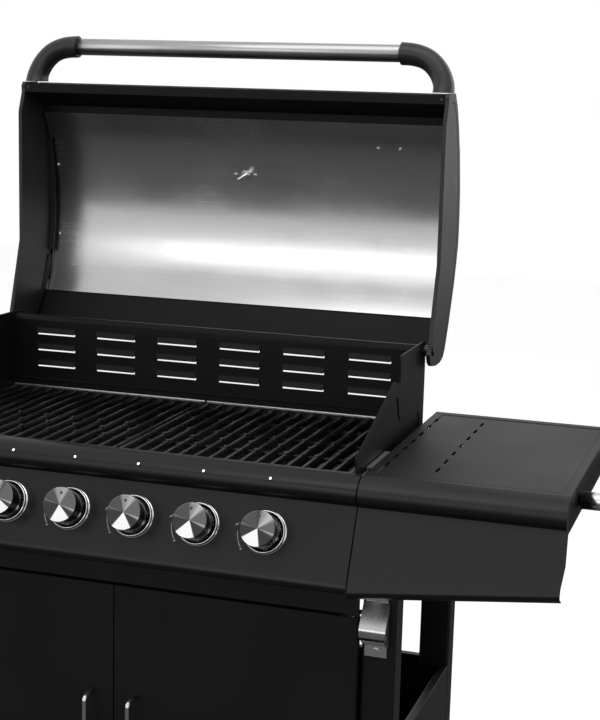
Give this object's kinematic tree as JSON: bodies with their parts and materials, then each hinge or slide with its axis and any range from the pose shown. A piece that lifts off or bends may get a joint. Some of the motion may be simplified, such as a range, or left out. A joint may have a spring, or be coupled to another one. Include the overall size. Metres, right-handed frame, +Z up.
{
  "type": "gas barbecue grill",
  "caption": "Free-standing gas barbecue with hinged hood, cast grates, turning knobs, side tables with towel rails and a two-door cabinet on casters.",
  "frame": {"origin": "on the ground under the middle of the grill's box", "axes": "+X to the grill's right-hand table as seen from the front, +Y to the back, +Z up"},
  "size_m": [1.485, 0.6444, 1.4775],
  "materials": {
    "black_paint": "satin powder coat",
    "cast_black": "satin painted casting",
    "arm_plastic": "matte moulded",
    "enamelled_iron": "glossy enamel",
    "stainless": "brushed",
    "knob_metal": "turned face, polished skirt",
    "chrome": "polished",
    "brass": "machined",
    "zinc": "zinc plated",
    "lamp": "clear lens, lit",
    "needle": "painted",
    "wheel_rubber": "moulded"
  },
  "bodies": {
    "frame": {"firebox_left": "black_paint", "firebox_right": "black_paint", "firebox_front": "black_paint", "firebox_rear": "black_paint", "firebox_floor": "black_paint", "burners": "stainless", "flame_tamers": "stainless", "grate_left": "enamelled_iron", "grate_right": "enamelled_iron", "control_panel": "black_paint", "led_lights": "lamp", "knob_bezels": "chrome", "gas_valves": "brass", "gas_manifold": "zinc", "table_left": "black_paint", "table_right": "black_paint", "side_fascias": "black_paint", "towel_rails": "stainless", "legs": "black_paint", "side_panels": "black_paint", "rear_panel": "black_paint", "base_shelf": "black_paint", "front_rail": "black_paint", "body_brackets": "zinc", "hinge_pins": "zinc", "bottle_opener": "stainless", "caster_mounts": "zinc"},
    "hood": {"hood_skin": "black_paint", "hood_liner": "stainless", "hood_cap_left": "cast_black", "hood_cap_right": "cast_black", "hood_trims": "black_paint", "handle_bar": "stainless", "handle_arms": "arm_plastic", "hood_screws": "stainless", "thermometer": "chrome"},
    "needle": {"thermo_needle": "needle"},
    "left_door": {"door_left": "black_paint", "door_handle_left": "stainless"},
    "right_door": {"door_right": "black_paint", "door_handle_right": "stainless"},
    "tray": {"grease_tray": "stainless"},
    "core_1": {"valve_core_1": "brass"},
    "knob_1": {"knob_1": "knob_metal"},
    "core_2": {"valve_core_2": "brass"},
    "knob_2": {"knob_2": "knob_metal"},
    "core_3": {"valve_core_3": "brass"},
    "knob_3": {"knob_3": "knob_metal"},
    "core_4": {"valve_core_4": "brass"},
    "knob_4": {"knob_4": "knob_metal"},
    "core_5": {"valve_core_5": "brass"},
    "knob_5": {"knob_5": "knob_metal"},
    "core_6": {"valve_core_6": "brass"},
    "knob_6": {"knob_6": "knob_metal"},
    "caster_left": {"fork_left": "zinc"},
    "front_wheel_left": {"wheel_front_left": "wheel_rubber"},
    "rear_wheel_left": {"wheel_rear_left": "wheel_rubber"},
    "caster_right": {"fork_right": "zinc"},
    "front_wheel_right": {"wheel_front_right": "wheel_rubber"},
    "rear_wheel_right": {"wheel_rear_right": "wheel_rubber"}
  },
  "joints": [
    {"name": "hood_hinge", "type": "hinge", "parent": "frame", "child": "hood", "pos_m": [0, 0.1553, 0.99], "axis": [1, 0, 0], "range_deg": [0, 108]},
    {"name": "needle_turn", "type": "hinge", "parent": "hood", "child": "needle", "pos_m": [0, 0.30373, 1.24922], "axis": [0, -0.9845, -0.1754], "range_deg": [0, 270], "stiffness_Nm_per_rad": 0.01},
    {"name": "left_door_hinge", "type": "hinge", "parent": "frame", "child": "left_door", "pos_m": [-0.367, -0.2274, 0.387], "axis": [0, 0, -1], "range_deg": [0, 100]},
    {"name": "right_door_hinge", "type": "hinge", "parent": "frame", "child": "right_door", "pos_m": [0.367, -0.2274, 0.387], "axis": [0, 0, 1], "range_deg": [0, 100]},
    {"name": "tray_slide", "type": "slide", "parent": "frame", "child": "tray", "axis": [0, 1, 0], "range_m": [0, 0.33]},
    {"name": "valve_turn_1", "type": "hinge", "parent": "frame", "child": "core_1", "pos_m": [-0.25, -0.25919, 0.7858], "axis": [0, -0.9135, 0.4067], "range_deg": [0, 210]},
    {"name": "knob_push_1", "type": "slide", "parent": "core_1", "child": "knob_1", "axis": [0, 0.9135, -0.4067], "range_m": [0, 0.003], "stiffness_N_per_m": 600, "springref_m": -0.005},
    {"name": "valve_turn_2", "type": "hinge", "parent": "frame", "child": "core_2", "pos_m": [-0.15, -0.25919, 0.7858], "axis": [0, -0.9135, 0.4067], "range_deg": [0, 210]},
    {"name": "knob_push_2", "type": "slide", "parent": "core_2", "child": "knob_2", "axis": [0, 0.9135, -0.4067], "range_m": [0, 0.003], "stiffness_N_per_m": 600, "springref_m": -0.005},
    {"name": "valve_turn_3", "type": "hinge", "parent": "frame", "child": "core_3", "pos_m": [-0.05, -0.25919, 0.7858], "axis": [0, -0.9135, 0.4067], "range_deg": [0, 210]},
    {"name": "knob_push_3", "type": "slide", "parent": "core_3", "child": "knob_3", "axis": [0, 0.9135, -0.4067], "range_m": [0, 0.003], "stiffness_N_per_m": 600, "springref_m": -0.005},
    {"name": "valve_turn_4", "type": "hinge", "parent": "frame", "child": "core_4", "pos_m": [0.05, -0.25919, 0.7858], "axis": [0, -0.9135, 0.4067], "range_deg": [0, 210]},
    {"name": "knob_push_4", "type": "slide", "parent": "core_4", "child": "knob_4", "axis": [0, 0.9135, -0.4067], "range_m": [0, 0.003], "stiffness_N_per_m": 600, "springref_m": -0.005},
    {"name": "valve_turn_5", "type": "hinge", "parent": "frame", "child": "core_5", "pos_m": [0.15, -0.25919, 0.7858], "axis": [0, -0.9135, 0.4067], "range_deg": [0, 210]},
    {"name": "knob_push_5", "type": "slide", "parent": "core_5", "child": "knob_5", "axis": [0, 0.9135, -0.4067], "range_m": [0, 0.003], "stiffness_N_per_m": 600, "springref_m": -0.005},
    {"name": "valve_turn_6", "type": "hinge", "parent": "frame", "child": "core_6", "pos_m": [0.25, -0.25919, 0.7858], "axis": [0, -0.9135, 0.4067], "range_deg": [0, 210]},
    {"name": "knob_push_6", "type": "slide", "parent": "core_6", "child": "knob_6", "axis": [0, 0.9135, -0.4067], "range_m": [0, 0.003], "stiffness_N_per_m": 600, "springref_m": -0.005},
    {"name": "swivel_left", "type": "hinge", "parent": "frame", "child": "caster_left", "pos_m": [-0.386, -0.1753, 0.1], "axis": [0, 0, 1], "continuous": true},
    {"name": "front_spin_left", "type": "hinge", "parent": "caster_left", "child": "front_wheel_left", "pos_m": [-0.386, -0.1503, 0.037], "axis": [1, 0, 0], "continuous": true},
    {"name": "rear_spin_left", "type": "hinge", "parent": "frame", "child": "rear_wheel_left", "pos_m": [-0.386, 0.1417, 0.037], "axis": [1, 0, 0], "continuous": true},
    {"name": "swivel_right", "type": "hinge", "parent": "frame", "child": "caster_right", "pos_m": [0.386, -0.1753, 0.1], "axis": [0, 0, 1], "continuous": true},
    {"name": "front_spin_right", "type": "hinge", "parent": "caster_right", "child": "front_wheel_right", "pos_m": [0.386, -0.1503, 0.037], "axis": [1, 0, 0], "continuous": true},
    {"name": "rear_spin_right", "type": "hinge", "parent": "frame", "child": "rear_wheel_right", "pos_m": [0.386, 0.1417, 0.037], "axis": [1, 0, 0], "continuous": true}
  ]
}
